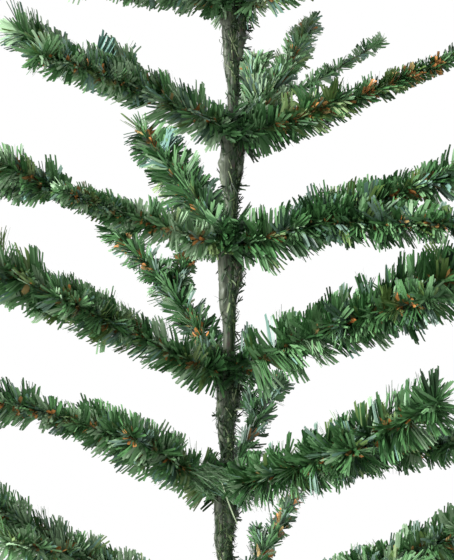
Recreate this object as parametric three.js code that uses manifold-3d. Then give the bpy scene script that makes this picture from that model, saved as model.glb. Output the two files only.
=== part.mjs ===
// An artificial Christmas tree, 1.8 m tall, fixed in its bucket.
// A thin steel pole stands in a bucket filled with cement. Three boughs leave the pole at each of ten
// levels. The wire of a bough turns down where it meets the pole and is bound to it with green film, which
// makes the pole thick under each level and thin above the next one. Film needles stand out of every wire.
// Lengths are in millimetres. +Z is up, the ground is z = 0, and the pole stands on the Z axis. The tree
// is seen from -Y, with +X on the right.
import * as THREE from "three";
import { mergeVertices } from "three/addons/utils/BufferGeometryUtils.js";
import Module from "manifold-3d";

const wasm = await Module();
wasm.setup();

// Driving dimensions
const TREE_HEIGHT = 1800;
const LEVELS = 10;
const LOWEST_LEVEL = 310;
const LEVEL_SPACING = 150;
const TIP_RADIUS = 60; // how far out the boughs would reach at the very top
const REACH_PER_DROP = 0.25; // how much further out they reach for each millimetre lower down
const POLE_RADIUS = 7.5;
const NEEDLE_REACH = 39; // the length of a needle
const BUCKET_HEIGHT = 200;
const BUCKET_BASE_RADIUS = 92;
const BUCKET_TOP_RADIUS = 122;
const BUCKET_WALL = 2;

// Where two pieces meet face to face they keep this gap
const SEAT_GAP = 0.3;

// The bucket and its filling
const BUCKET_SIDES = 36;
const BUCKET_FLOOR = 3;
const BUCKET_EDGE = 3; // the bevel between the floor and the wall
const RIM_RADIUS = 3.5; // of the rolled rim
const RIM_STEPS = 5;
const HOOP_HEIGHT = 132; // of the pressed ring round the wall
const HOOP_SIZE = 2.5;
const FILL_LEVEL = 166; // at the bucket's wall
const FILL_ROUNDING = { width: 6, rise: 1.5 }; // of the cement's edge by the wall
const FILL_COLLAR = { width: 10, rise: 2 }; // of the cement drawn up round the pole

// The pole
const POLE_SIDES = 12;
const UPPER_POLE_RADIUS = POLE_RADIUS - 1;
const POLE_FOOT = BUCKET_FLOOR + SEAT_GAP;
const POLE_END_RISE = 2; // of the pole above its last bound ends
const POLE_BEVEL = 1; // of its upper end
const JOINT_LEVEL = 4; // where the pole's thinner upper length stands in the lower one
const JOINT_RISE = 30; // above that level

// The pole and the bound ends of the boughs' wires
const LEG_RADIUS = 6.5;
const LEG_OFFSET = 8.5; // from the pole's middle to the middle of a bound end
const LEG_SIDES = 6;
const LEG_FACE = LEG_OFFSET + LEG_RADIUS * Math.cos(Math.PI / LEG_SIDES);
const LEG_RISE = 7; // how far a bound end stands above its level
const LEG_LENGTHS = [108, 76, 92]; // of a level's left, right and back bough
const LEG_STRAIGHT = 0.6; // of its length, before it thins
const LEG_END_RADIUS = 2;
const LEG_END_OFFSET = 3.7; // of its thin end, inside the pole

// A bough and its twigs
const STEM_RADIUS = 4;
const CORE_RADIUS = 7.5; // of the wire with the packed roots of its needles
const BARE_STEM = 5; // of a bough, before its needles start
const SPRAY_PITCH = 24; // along a wire, from one ring of sprays to the next
const BRUSH_SIDES = 3;
const RING_TWIST = 75; // degrees from one ring to the next: half a side and a little more
const SPRAY_REACH = NEEDLE_REACH + 5; // a spray is pointed and stands for many needles
const FORWARD_LEAN = 0.5; // how far a spray leans towards the tip, for each millimetre that it stands out
const NECK_LEAN = 0.05; // that of the first sprays, by the pole
const TWIG_RUN = 0.42; // of its bough's run
const TWIG_RUN_JITTER = 0.1;
const TWIG_FORKS = [0.4, 0.54]; // where the twigs leave their bough, as shares of its run
const TWIG_FULL = [1, 0.85];
const TWIG_SLIMMING = 0.12; // how much shorter its last sprays are than its first, besides
const TWIG_DROOP = 3; // degrees that a twig rises less than its bough
const TWIG_SWEEP = 0.35; // of the turn that a twig takes back towards its bough
const WOBBLE = 4; // degrees that a bough's heading wanders
const NECK_RUN = 0.15; // of a bough, where its needles are still pressed short
const NECK_REACH = 0.92;
const SPACE_MARGIN = 2.5; // that sprays keep from the edge of their bough's space
const SPRAY_SIZES = [1, 0.8, 0.6, 0.4]; // the sizes that a spray is tried at, until it fits
const REACH_JITTER = 0.15;
const TIP_LENGTH = 22; // of the last spray, past the end of the wire

// The leader
const LEADER_FOOT = 14; // the radius of its space at its foot, and of the pole's space
const LEADER_OPENING = 0.4; // how much wider its space is for each millimetre higher
const LEADER_SEED = 77;

// The six levels that the photograph shows, from the lowest up. azimuth is in degrees from +X, turning
// towards +Y; rise is above level ground; bend lifts (+) or drops (-) the tip as a share of the run. Each
// twig leaves at a turn from its bough, in degrees, and may have its own fork, run and droop in place of
// TWIG_FORKS, TWIG_RUN and TWIG_DROOP. full holds a brush's thickness at even places along its wire, in
// place of 1, and lean how far its needles lean, in place of FORWARD_LEAN. lift moves a level, or one
// bough, up.
const SHOWN_LEVELS = [
  {
    lift: 8,
    boughs: [
      {
        side: "left",
        azimuth: 203,
        rise: 17.1,
        bend: 0.24,
        lift: 4,
        lean: 0.7,
        full: [1, 0.85, 0.85, 1, 1],
        twigs: [{ turn: 26, run: 0.3 }, { turn: -22 }],
      },
      {
        side: "right",
        azimuth: 322,
        rise: 16.4,
        bend: 0.13,
        full: [1, 0.8, 0.85, 1, 1],
        twigs: [{ turn: -26, run: 0.3 }, { turn: 24 }],
      },
      {
        side: "back",
        azimuth: 76,
        rise: 17.5,
        bend: -0.1,
        lean: 0.9,
        full: [0.8, 0.5],
        twigs: [{ turn: 22, run: 0.2, full: [0.6] }],
      },
    ],
  },
  {
    lift: 5,
    boughs: [
      {
        side: "left",
        azimuth: 201,
        rise: 30,
        bend: -0.26,
        lift: 5,
        lean: 0.6,
        full: [1, 1, 1.15, 0.72, 0.62, 0.95, 1.1, 1.2],
        twigs: [
          { turn: 24, fork: 0.12, run: 0.22 },
          { turn: -24, fork: 0.2, run: 0.2 },
        ],
      },
      {
        side: "right",
        azimuth: 304,
        rise: 11.5,
        bend: 0.13,
        lift: 8,
        full: [1, 1.05, 1.1, 1.2, 1.05],
        twigs: [
          { turn: 28, run: 0.5, droop: 0, full: [0.9, 0.7] },
          { turn: -24, run: 0.2, droop: 4 },
        ],
      },
      {
        side: "back",
        azimuth: 79,
        rise: 31,
        bend: -0.3,
        lean: 0.9,
        full: [0.9, 0.65],
        twigs: [{ turn: 24, run: 0.2, full: [0.6] }],
      },
    ],
  },
  {
    lift: 0,
    boughs: [
      {
        side: "left",
        azimuth: 208,
        rise: 23,
        bend: 0.01,
        lean: 0.85,
        full: [1, 0.95, 0.95, 1.3, 1.2],
        twigs: [{ turn: 26, run: 0.3 }, { turn: -22 }],
      },
      {
        side: "right",
        azimuth: 333,
        rise: 22.5,
        bend: 0,
        lift: 9,
        full: [1.2, 1.2, 1.2, 1.35, 1.15],
        twigs: [
          { turn: -26, run: 0.46, droop: 10 },
          { turn: 22, droop: -2 },
        ],
      },
      {
        side: "back",
        azimuth: 118.5,
        rise: 34,
        bend: -0.13,
        lean: 0.8,
        full: [0.75, 0.82, 0.78, 0.6],
        twigs: [{ turn: -52, fork: 0.45, run: 0.22, droop: -4, full: [0.6] }],
      },
    ],
  },
  {
    lift: 11,
    boughs: [
      {
        side: "left",
        azimuth: 199,
        rise: 14,
        bend: 0.08,
        lean: 0.6,
        full: [0.7, 0.8, 0.75, 0.65, 0.5, 0.72, 0.85, 0.3],
        twigs: [
          { turn: 26, run: 0.3, droop: 0, full: [0.5] },
          { turn: -20, fork: 0.7, run: 0.3, droop: 8, full: [0.9, 0.6] },
        ],
      },
      {
        side: "right",
        azimuth: 345,
        rise: 15,
        bend: 0.08,
        full: [1.1, 1.1, 1.15, 0.85, 0.55, 1.05, 0.95],
        twigs: [
          { turn: -22, fork: 0.3, run: 0.85, droop: 16, full: [1, 1, 0.75, 0.4] },
          { turn: 22, fork: 0.2, run: 0.45, droop: -5 },
        ],
      },
      {
        side: "back",
        azimuth: 113,
        rise: 24.5,
        bend: 0.08,
        lean: 0.5,
        full: [0.95, 1.05, 0.85],
        twigs: [{ turn: -24, run: 0.2, full: [0.8] }],
      },
    ],
  },
  {
    lift: -2,
    boughs: [
      {
        side: "left",
        azimuth: 209,
        rise: 18.6,
        bend: 0.01,
        lift: 9,
        lean: 0.95,
        full: [1, 1.05, 1.05, 1, 0.95, 0.75, 0.8, 1],
        twigs: [
          { turn: 28, run: 0.72, droop: 11, full: [0.8, 0.85] },
          { turn: -20, fork: 0.14, run: 0.36, droop: -15, full: [0.5, 0.6, 0.9] },
        ],
      },
      {
        side: "right",
        azimuth: 5,
        rise: 16.8,
        bend: 0.09,
        full: [1, 0.85, 0.6, 0.52, 0.4, 0.42],
        twigs: [{ turn: -22, fork: 0.25, run: 0.2, droop: -6 }],
      },
      {
        side: "back",
        azimuth: 67.5,
        rise: 29.5,
        bend: 0.1,
        lean: 0.7,
        full: [1.1, 0.9, 0.75, 0.65, 0.5],
        twigs: [
          { turn: -29, fork: 0.15, run: 0.88, droop: 3, full: [0.7, 0.5, 0.35, 0.4] },
          { turn: 28, fork: 0.2, run: 0.55, droop: 1 },
        ],
      },
    ],
  },
  {
    lift: 10,
    boughs: [
      {
        side: "left",
        azimuth: 205,
        rise: 9,
        bend: 0.05,
        full: [0.8, 1],
        twigs: [{ turn: 26 }, { turn: -22 }],
      },
      {
        side: "right",
        azimuth: 335,
        rise: 20,
        bend: 0,
        full: [0.85, 1],
        twigs: [{ turn: -24 }, { turn: 22 }],
      },
      { side: "back", azimuth: 110, rise: 24, bend: 0, twigs: [{ turn: 22 }, { turn: -24 }] },
    ],
  },
];

// The levels above the photograph follow a rule: each is turned by a sixth of a circle from the one below,
// and its boughs stand up more steeply.
const UPPER_TURN = 60;
const UPPER_START = 30;
const UPPER_SIDES = [
  ["back_right", "back_left", "front"],
  ["back", "left", "right"],
];
const UPPER_RISE = 21;
const UPPER_RISE_STEP = 5;
const UPPER_JITTER = 8;
const UPPER_SEED = 4000;
const UPPER_TWIGS = [{ turn: 25 }, { turn: -25 }];
const TWIGGY_UPPER_LEVELS = 3; // the last level's boughs are too short for twigs

const POLE_TOP = levelHeight(LEVELS - 1) + LEG_RISE + POLE_END_RISE;
const POLE_JOINT = levelHeight(JOINT_LEVEL) + JOINT_RISE;

const rad = THREE.MathUtils.degToRad;

// A small generator of chance, so that a seed always grows the same tree.
function randomFrom(seed) {
  let state = seed;
  return () => {
    state = (state * 16807) % 2147483647;
    return state / 2147483647;
  };
}

// Solids in and out of manifold-3d

// A closed geometry as a solid: its equal vertices are merged and its collapsed faces dropped.
function solidOf(geometry) {
  geometry.deleteAttribute("normal");
  geometry.deleteAttribute("uv");
  const merged = mergeVertices(geometry, 1e-3);
  const faces = [];
  for (let i = 0; i < merged.index.count; i += 3) {
    const face = [0, 1, 2].map((k) => merged.index.getX(i + k));
    if (new Set(face).size === 3) faces.push(...face);
  }
  return new wasm.Manifold(
    new wasm.Mesh({
      numProp: 3,
      vertProperties: new Float32Array(merged.attributes.position.array),
      triVerts: new Uint32Array(faces),
    }),
  );
}

function geometryOf(solid) {
  const mesh = solid.getMesh();
  const geometry = new THREE.BufferGeometry();
  geometry.setAttribute("position", new THREE.BufferAttribute(mesh.vertProperties, 3));
  geometry.setIndex(new THREE.BufferAttribute(mesh.triVerts, 1));
  geometry.computeVertexNormals();
  return geometry;
}

// A profile of [radius, height] points, turned about the Z axis.
function turned(profile, segments) {
  const points = profile.map(([radius, height]) => new THREE.Vector2(radius, height));
  return new THREE.LatheGeometry(points, segments).rotateX(Math.PI / 2);
}

// The tree's plan: where each bough leaves the pole and where it goes

function levelHeight(level) {
  return LOWEST_LEVEL + LEVEL_SPACING * level + (SHOWN_LEVELS[level]?.lift ?? 0);
}

// The boughs of a level above the photograph.
function upperBoughs(level) {
  const step = level - SHOWN_LEVELS.length;
  const random = randomFrom(UPPER_SEED + level);
  return UPPER_SIDES[step % 2].map((side, k) => ({
    side,
    azimuth: UPPER_START + UPPER_TURN * (step % 2) + 120 * k + UPPER_JITTER * (random() - 0.5),
    rise: UPPER_RISE + UPPER_RISE_STEP * step + UPPER_JITTER * (random() - 0.5),
    bend: 0,
    twigs: step < TWIGGY_UPPER_LEVELS ? UPPER_TWIGS : [],
  }));
}

// Every bough with its height, its run out from the pole and the edges of its space: the azimuths half-way
// to its neighbours in the same level.
function planBoughs() {
  const plan = [];
  for (let level = 0; level < LEVELS; level++) {
    const boughs = SHOWN_LEVELS[level]?.boughs ?? upperBoughs(level);
    const reach = TIP_RADIUS + REACH_PER_DROP * (TREE_HEIGHT - levelHeight(level));
    boughs.forEach((bough, k) => {
      const gaps = boughs
        .filter((other) => other !== bough)
        .map((other) => (((other.azimuth - bough.azimuth) % 360) + 360) % 360);
      plan.push({
        ...bough,
        level,
        name: `bough_${level + 1}_${bough.side}`,
        seed: 100 * (level + 1) + 10 * (k + 1),
        height: levelHeight(level) + (bough.lift ?? 0),
        run: reach - LEG_FACE,
        legLength: LEG_LENGTHS[k],
        edges: [Math.max(...gaps) - 360, Math.min(...gaps)].map((gap) => bough.azimuth + gap / 2),
      });
    });
  }
  return plan;
}

// The wires

// A wire's middle line, as steps of even run: it leaves `start` at azimuth + turn and sweeps back by part of
// the turn, climbs at `rise`, and bends at its tip. Each step has its point and its direction.
function wireLine({ start, azimuth, turn, rise, bend, run, wobble, steps }) {
  const point = start.clone();
  const line = [];
  for (let i = 0; i <= steps; i++) {
    const share = (i + 0.5) / steps;
    const heading = rad(
      azimuth + turn * (1 - TWIG_SWEEP * share) + wobble * Math.sin(2 * Math.PI * share),
    );
    const climb = Math.tan(rad(rise)) + 2 * bend * share;
    const step = new THREE.Vector3(Math.cos(heading), Math.sin(heading), climb);
    line.push({ point: point.clone(), direction: step.clone().normalize() });
    point.addScaledVector(step, run / steps);
  }
  return line;
}

// The bough's own wire and then its twigs, each as a line of steps.
function boughWires(bough) {
  const random = randomFrom(bough.seed);
  const stepsOver = (run) => Math.max(2, Math.round(run / Math.cos(rad(bough.rise)) / SPRAY_PITCH));
  const out = rad(bough.azimuth);
  const start = new THREE.Vector3(Math.cos(out), Math.sin(out), 0)
    .multiplyScalar(LEG_FACE + SEAT_GAP)
    .setZ(bough.height);
  const wobble = WOBBLE * (2 * random() - 1);
  const mainLine = wireLine({ ...bough, start, turn: 0, wobble, steps: stepsOver(bough.run) });
  const twigLines = bough.twigs.map((twig, k) => {
    const { turn, fork = TWIG_FORKS[k], run = TWIG_RUN, droop = TWIG_DROOP } = twig;
    const twigRun = run * bough.run * (1 + TWIG_RUN_JITTER * (2 * random() - 1));
    return wireLine({
      start: mainLine[Math.round(fork * (mainLine.length - 1))].point,
      azimuth: bough.azimuth,
      turn,
      rise: bough.rise - droop,
      bend: 0,
      run: twigRun,
      wobble: 0,
      steps: stepsOver(twigRun),
    });
  });
  return [mainLine, ...twigLines];
}

// The value at a share of a run, between values that stand at even places along it.
function valueAt(values, share) {
  const place = share * (values.length - 1);
  const before = Math.floor(place);
  return THREE.MathUtils.lerp(values[before], values[before + 1] ?? values[before], place - before);
}

// How long sprays are and how far they lean forward at a share of a bough's run. Near the pole they are
// pressed short and upright.
function boughSprays({ full = [1], lean = FORWARD_LEAN }, share) {
  const open = Math.min(1, share / NECK_RUN);
  return {
    reach: SPRAY_REACH * THREE.MathUtils.lerp(NECK_REACH, 1, open) * valueAt(full, share),
    lean: THREE.MathUtils.lerp(NECK_LEAN, lean, open),
  };
}

// The same at a share of a twig's run: it is a little slimmer than its bough.
function twigSprays({ lean = FORWARD_LEAN }, { full = TWIG_FULL }, share) {
  return { reach: SPRAY_REACH * (1 - TWIG_SLIMMING * share) * valueAt(full, share), lean };
}

// The leader's own space is a cone that opens upwards from the pole's end.
function leaderSpace(height) {
  return LEADER_FOOT + LEADER_OPENING * Math.max(0, height - POLE_TOP);
}

// True for a point that lies in the bough's space: clear of the pole and the leader, and between the two
// upright planes that part it from its neighbours.
function inSpace(bough, point) {
  const [before, after] = bough.edges.map(
    (edge) => point.y * Math.cos(rad(edge)) - point.x * Math.sin(rad(edge)),
  );
  const clearOfPole = Math.hypot(point.x, point.y) > leaderSpace(point.z) + SPACE_MARGIN;
  return clearOfPole && before > SPACE_MARGIN && after < -SPACE_MARGIN;
}

// The distance from a point to the nearest of some wires.
function distanceTo(lines, point) {
  const nearest = new THREE.Vector3();
  const distances = lines.flatMap((line) =>
    line.slice(1).map((step, i) => {
      new THREE.Line3(line[i].point, step.point).closestPointToPoint(point, true, nearest);
      return nearest.distanceTo(point);
    }),
  );
  return Math.min(...distances);
}

// The brushes: a slim three-sided core, with a spray of needles standing out of each of its faces

// The corners of one ring. A bough's first ring is upright, to lie flat against the pole's bound side.
function ringCorners({ point, direction, radius }, twist, upright) {
  const level = new THREE.Vector3(-direction.y, direction.x, 0);
  const side = level.lengthSq() > 1e-6 ? level.normalize() : new THREE.Vector3(1, 0, 0);
  const up = upright ? new THREE.Vector3(0, 0, 1) : direction.clone().cross(side);
  return Array.from({ length: BRUSH_SIDES }, (_, k) => {
    const angle = rad(twist + (360 * k) / BRUSH_SIDES);
    return point
      .clone()
      .addScaledVector(side, radius * Math.cos(angle))
      .addScaledVector(up, radius * Math.sin(angle));
  });
}

// The top of the spray on a face: it stands out of the wire and leans forward, and is shortened until it
// keeps to its space. Null where there is no room for one.
function sprayTop(corners, { point, direction, lean }, reach, allowed) {
  const middle = new THREE.Vector3();
  corners.forEach((corner) => middle.addScaledVector(corner, 1 / corners.length));
  const along = middle.clone().sub(point).dot(direction);
  const axis = point.clone().addScaledVector(direction, along);
  const out = middle.clone().sub(axis).normalize();
  const heading = out.clone().addScaledVector(direction, lean).normalize();
  for (const share of SPRAY_SIZES) {
    const top = axis.clone().addScaledVector(heading, reach * share);
    if (heading.dot(out) * reach * share > CORE_RADIUS && allowed(top)) return top;
  }
  return null;
}

// rings are [{ point, direction, radius, reach, lean }], with the reach and lean of the sprays that stand
// between a ring and the next.
function brushGeometry(rings, { seed, allowed, upright = false }) {
  const random = randomFrom(seed);
  const corners = rings.map((ring, i) => ringCorners(ring, i * RING_TWIST, upright && i === 0));
  const positions = [];
  const face = (...points) => points.forEach((p) => positions.push(p.x, p.y, p.z));
  const [first, last] = [corners[0], corners[corners.length - 1]];
  face(first[0], first[2], first[1]);
  for (let i = 0; i + 1 < rings.length; i++) {
    for (let k = 0; k < BRUSH_SIDES; k++) {
      const next = (k + 1) % BRUSH_SIDES;
      const [ring, ahead] = [corners[i], corners[i + 1]];
      for (const base of [[ring[k], ring[next], ahead[k]], [ahead[k], ring[next], ahead[next]]]) {
        const reach = rings[i].reach * (1 + REACH_JITTER * (2 * random() - 1));
        const top = sprayTop(base, rings[i], reach, allowed);
        if (top) base.forEach((corner, c) => face(corner, base[(c + 1) % 3], top));
        else face(...base);
      }
    }
  }
  const end = rings[rings.length - 1];
  const tip = end.point.clone().addScaledVector(end.direction, TIP_LENGTH);
  last.forEach((corner, k) => face(corner, last[(k + 1) % BRUSH_SIDES], tip));
  const geometry = new THREE.BufferGeometry();
  return geometry.setAttribute("position", new THREE.Float32BufferAttribute(positions, 3));
}

// A bough's rings: the bare stem by the pole first, then the clothed core, narrow again at the tip.
function boughRings(bough, line) {
  const root = { ...line[0], radius: STEM_RADIUS, reach: 0 };
  const stemEnd = root.point.clone().addScaledVector(root.direction, BARE_STEM);
  const neck = { ...root, ...boughSprays(bough, 0), point: stemEnd };
  const clothed = line.slice(1).map((step, i) => {
    const share = (i + 1) / (line.length - 1);
    return { ...step, ...boughSprays(bough, share), radius: share < 1 ? CORE_RADIUS : STEM_RADIUS };
  });
  return [root, neck, ...clothed];
}

// A twig's rings: it starts inside its bough's core.
function twigRings(bough, twig, line) {
  return line.map((step, i) => {
    const share = i / (line.length - 1);
    const inside = share > 0 && share < 1;
    return { ...step, ...twigSprays(bough, twig, share), radius: inside ? CORE_RADIUS : STEM_RADIUS };
  });
}

// A bough's solid. Each spray stays nearer to its own wire than to the bough's others, and well nearer than
// to those of the levels above and below. wires holds the wires of every bough.
function boughSolid(bough, wires) {
  const lines = wires.get(bough);
  const neighbours = [...wires.keys()].filter((other) => Math.abs(other.level - bough.level) === 1);
  const neighbourLines = neighbours.flatMap((other) => wires.get(other));
  const brushes = lines.map((line, w) => {
    const others = lines.filter((other) => other !== line);
    const allowed = (top) => {
      if (!inSpace(bough, top)) return false;
      const own = distanceTo([line], top);
      return distanceTo(others, top) > own && distanceTo(neighbourLines, top) > own + SPACE_MARGIN;
    };
    const rings = w === 0 ? boughRings(bough, line) : twigRings(bough, bough.twigs[w - 1], line);
    return solidOf(brushGeometry(rings, { seed: bough.seed + w, allowed, upright: w === 0 }));
  });
  return largest(brushes.reduce((solid, brush) => solid.add(brush)));
}

// The biggest body of a solid: a scrap that a union leaves loose is dropped.
function largest(solid) {
  return solid.decompose().reduce((a, b) => (b.volume() > a.volume() ? b : a));
}

// The leader at the top: one upright wire, whose needles open out from the pole's end.
function leaderSolid() {
  const up = new THREE.Vector3(0, 0, 1);
  const bottom = POLE_TOP + SEAT_GAP;
  const wire = TREE_HEIGHT - TIP_LENGTH - bottom;
  const steps = Math.round(wire / SPRAY_PITCH);
  const rings = Array.from({ length: steps + 1 }, (_, i) => {
    const radius = i > 0 && i < steps ? CORE_RADIUS : STEM_RADIUS;
    const point = new THREE.Vector3(0, 0, bottom + (wire * i) / steps);
    return { point, direction: up, radius, reach: SPRAY_REACH, lean: FORWARD_LEAN };
  });
  const allowed = (top) => Math.hypot(top.x, top.y) < leaderSpace(top.z);
  return solidOf(brushGeometry(rings, { seed: LEADER_SEED, allowed }));
}

// The pole, with the bound ends of its boughs

// One bound end: a six-sided bar on the pole's side, with one face outwards, that thins towards its foot
// and runs out into the pole.
function boundEnd(bough) {
  const turn = rad(bough.azimuth);
  const rings = [
    { drop: -LEG_RISE, offset: LEG_OFFSET, radius: LEG_RADIUS },
    { drop: LEG_STRAIGHT * bough.legLength, offset: LEG_OFFSET, radius: LEG_RADIUS },
    { drop: bough.legLength, offset: LEG_END_OFFSET, radius: LEG_END_RADIUS },
  ].map(({ drop, offset, radius }) =>
    Array.from({ length: LEG_SIDES }, (_, k) => {
      const angle = rad((360 * (k + 0.5)) / LEG_SIDES) + turn;
      const x = offset * Math.cos(turn) + radius * Math.cos(angle);
      const y = offset * Math.sin(turn) + radius * Math.sin(angle);
      return new THREE.Vector3(x, y, bough.height - drop);
    }),
  );
  const positions = [];
  const face = (...points) => points.forEach((p) => positions.push(p.x, p.y, p.z));
  const [head, , foot] = rings;
  for (let k = 1; k + 1 < LEG_SIDES; k++) {
    face(head[0], head[k], head[k + 1]);
    face(foot[0], foot[k + 1], foot[k]);
  }
  for (let i = 0; i + 1 < rings.length; i++) {
    for (let k = 0; k < LEG_SIDES; k++) {
      const next = (k + 1) % LEG_SIDES;
      face(rings[i][k], rings[i + 1][k], rings[i + 1][next]);
      face(rings[i][k], rings[i + 1][next], rings[i][next]);
    }
  }
  const geometry = new THREE.BufferGeometry();
  return geometry.setAttribute("position", new THREE.Float32BufferAttribute(positions, 3));
}

function poleSolid(plan) {
  const profile = [
    [0, POLE_FOOT],
    [POLE_RADIUS, POLE_FOOT],
    [POLE_RADIUS, POLE_JOINT],
    [UPPER_POLE_RADIUS, POLE_JOINT],
    [UPPER_POLE_RADIUS, POLE_TOP - POLE_BEVEL],
    [UPPER_POLE_RADIUS - POLE_BEVEL, POLE_TOP],
    [0, POLE_TOP],
  ];
  const bare = solidOf(turned(profile, POLE_SIDES));
  return plan.reduce((solid, bough) => solid.add(solidOf(boundEnd(bough))), bare);
}

// The bucket and its filling

function bucketRadius(height) {
  return THREE.MathUtils.lerp(BUCKET_BASE_RADIUS, BUCKET_TOP_RADIUS, height / BUCKET_HEIGHT);
}

function bucketProfile() {
  const rimHeight = BUCKET_HEIGHT - RIM_RADIUS;
  const rimMiddle = bucketRadius(rimHeight) + RIM_RADIUS - BUCKET_WALL;
  const hoop = [-2, -1, 1, 2].map((k) => {
    const height = HOOP_HEIGHT + k * HOOP_SIZE;
    return [bucketRadius(height) + (Math.abs(k) < 2 ? HOOP_SIZE : 0), height];
  });
  const rim = Array.from({ length: RIM_STEPS + 1 }, (_, k) => {
    const angle = -Math.PI / 2 + (1.5 * Math.PI * k) / RIM_STEPS;
    return [rimMiddle + RIM_RADIUS * Math.cos(angle), rimHeight + RIM_RADIUS * Math.sin(angle)];
  });
  rim[RIM_STEPS] = [bucketRadius(rimHeight) - BUCKET_WALL, rimHeight];
  return [
    [0, 0],
    [bucketRadius(0) - BUCKET_EDGE, 0],
    [bucketRadius(BUCKET_EDGE), BUCKET_EDGE],
    ...hoop,
    ...rim,
    [bucketRadius(BUCKET_FLOOR) - BUCKET_WALL, BUCKET_FLOOR],
    [0, BUCKET_FLOOR],
  ];
}

function fillProfile() {
  const bottom = BUCKET_FLOOR + SEAT_GAP;
  const inside = (height) => bucketRadius(height) - BUCKET_WALL - SEAT_GAP;
  const bore = POLE_RADIUS + SEAT_GAP;
  const top = FILL_LEVEL + FILL_ROUNDING.rise;
  return [
    [bore, bottom],
    [inside(bottom), bottom],
    [inside(FILL_LEVEL), FILL_LEVEL],
    [inside(FILL_LEVEL) - FILL_ROUNDING.width, top],
    [bore + FILL_COLLAR.width, top],
    [bore, top + FILL_COLLAR.rise],
    [bore, bottom],
  ];
}

// The materials, and the assembly
const needleGreen = new THREE.MeshStandardMaterial({ color: 0x2c5a30, roughness: 0.5, metalness: 0 });
const bindingGreen = new THREE.MeshStandardMaterial({ color: 0x6f7f66, roughness: 0.55, metalness: 0 });
const zinc = new THREE.MeshStandardMaterial({ color: 0xa9adb0, roughness: 0.45, metalness: 0.9 });
const cement = new THREE.MeshStandardMaterial({ color: 0x8f8b84, roughness: 0.95, metalness: 0 });

const tree = new THREE.Group();

function place(name, geometry, material) {
  const mesh = new THREE.Mesh(geometry, material);
  mesh.name = name;
  tree.add(mesh);
}

const plan = planBoughs();
const wires = new Map(plan.map((bough) => [bough, boughWires(bough)]));
place("bucket", turned(bucketProfile(), BUCKET_SIDES), zinc);
place("bucket_fill", turned(fillProfile(), BUCKET_SIDES), cement);
place("trunk_pole", geometryOf(poleSolid(plan)), bindingGreen);
for (const bough of plan) place(bough.name, geometryOf(boughSolid(bough, wires)), needleGreen);
place("leader", geometryOf(leaderSolid()), needleGreen);

export default tree;
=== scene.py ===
# %% [markdown]
# # An artificial Christmas tree in its bucket
# This notebook dresses a plain model of the tree, called the frame, which has the right size and place. It is
# in metres, with +Z up, and is seen from -Y. Pieces made here take the place of the frame's solids.

# %% Load the frame
import math

import bmesh
import bpy
import numpy as np
from mathutils import Matrix, Vector, noise
from numpy.random import default_rng


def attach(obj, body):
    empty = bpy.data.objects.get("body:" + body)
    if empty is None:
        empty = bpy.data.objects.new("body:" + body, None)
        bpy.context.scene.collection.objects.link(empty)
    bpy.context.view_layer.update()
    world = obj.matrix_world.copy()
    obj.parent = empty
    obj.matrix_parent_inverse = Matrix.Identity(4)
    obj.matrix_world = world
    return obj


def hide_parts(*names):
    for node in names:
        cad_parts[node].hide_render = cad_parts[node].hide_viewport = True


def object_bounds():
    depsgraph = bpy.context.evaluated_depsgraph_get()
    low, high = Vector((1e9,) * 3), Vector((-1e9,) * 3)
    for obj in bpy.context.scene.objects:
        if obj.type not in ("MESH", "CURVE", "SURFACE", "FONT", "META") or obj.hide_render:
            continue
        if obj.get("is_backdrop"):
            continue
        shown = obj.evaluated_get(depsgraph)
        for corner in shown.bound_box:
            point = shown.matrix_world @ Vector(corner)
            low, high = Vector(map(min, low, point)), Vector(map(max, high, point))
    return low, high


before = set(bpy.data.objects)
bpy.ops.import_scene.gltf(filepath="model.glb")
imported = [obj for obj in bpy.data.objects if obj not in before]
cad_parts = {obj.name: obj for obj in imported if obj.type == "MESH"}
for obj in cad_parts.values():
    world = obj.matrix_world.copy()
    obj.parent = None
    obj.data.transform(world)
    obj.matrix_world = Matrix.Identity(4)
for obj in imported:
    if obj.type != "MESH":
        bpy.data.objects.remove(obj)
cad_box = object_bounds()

MM = 0.001
print("nodes in the frame:", len(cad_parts), " box:", [tuple(round(v, 3) for v in c) for c in cad_box])

# %% [markdown]
# ## The camera
# The picture shows a middle stretch of the tree, whose levels are evenly spaced, so the camera stands level
# and far off, with a long lens. Levels 150 mm apart are 120.6 pixels apart, which gives the size of the
# field. The camera is turned by less than a degree, because the pole leans by that much in the picture. One
# helper makes every object: its data, such as a camera or a mesh, put in a place of the scene.

# %% Camera
IMAGE_HEIGHT = 560  # pixels
PIXEL = 150 / 120.6 * MM  # of the picture, at the pole
CAMERA_DISTANCE = 2.2
CAMERA_HEIGHT = 0.726
POLE_RIGHT_OF_MIDDLE = 3 * PIXEL
CAMERA_ROLL = math.radians(0.9)
SENSOR = 36  # millimetres, on the picture's long side


def placed(name, data):
    """A new object of the scene, at the origin."""
    thing = bpy.data.objects.new(name, data)
    bpy.context.scene.collection.objects.link(thing)
    return thing


camera_data = bpy.data.cameras.new("camera")
camera_data.sensor_width = SENSOR
camera_data.lens = SENSOR * CAMERA_DISTANCE / (IMAGE_HEIGHT * PIXEL)
camera = placed("camera", camera_data)
camera.matrix_world = (
    Matrix.Translation((-POLE_RIGHT_OF_MIDDLE, -CAMERA_DISTANCE, CAMERA_HEIGHT))
    @ Matrix.Rotation(math.pi / 2, 4, "X")
    @ Matrix.Rotation(CAMERA_ROLL, 4, "Z")
)
bpy.context.scene.camera = camera
print("lens", round(camera_data.lens, 1), "mm, field", round(IMAGE_HEIGHT * PIXEL, 3), "m high")

# %% [markdown]
# ## Shader sums as Python
# A pattern such as rust or grain is a sum of textures. Such sums are easier to read as Python than as a row
# of linked nodes, so one small class wraps a node's output and makes Math nodes for + and *.

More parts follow.
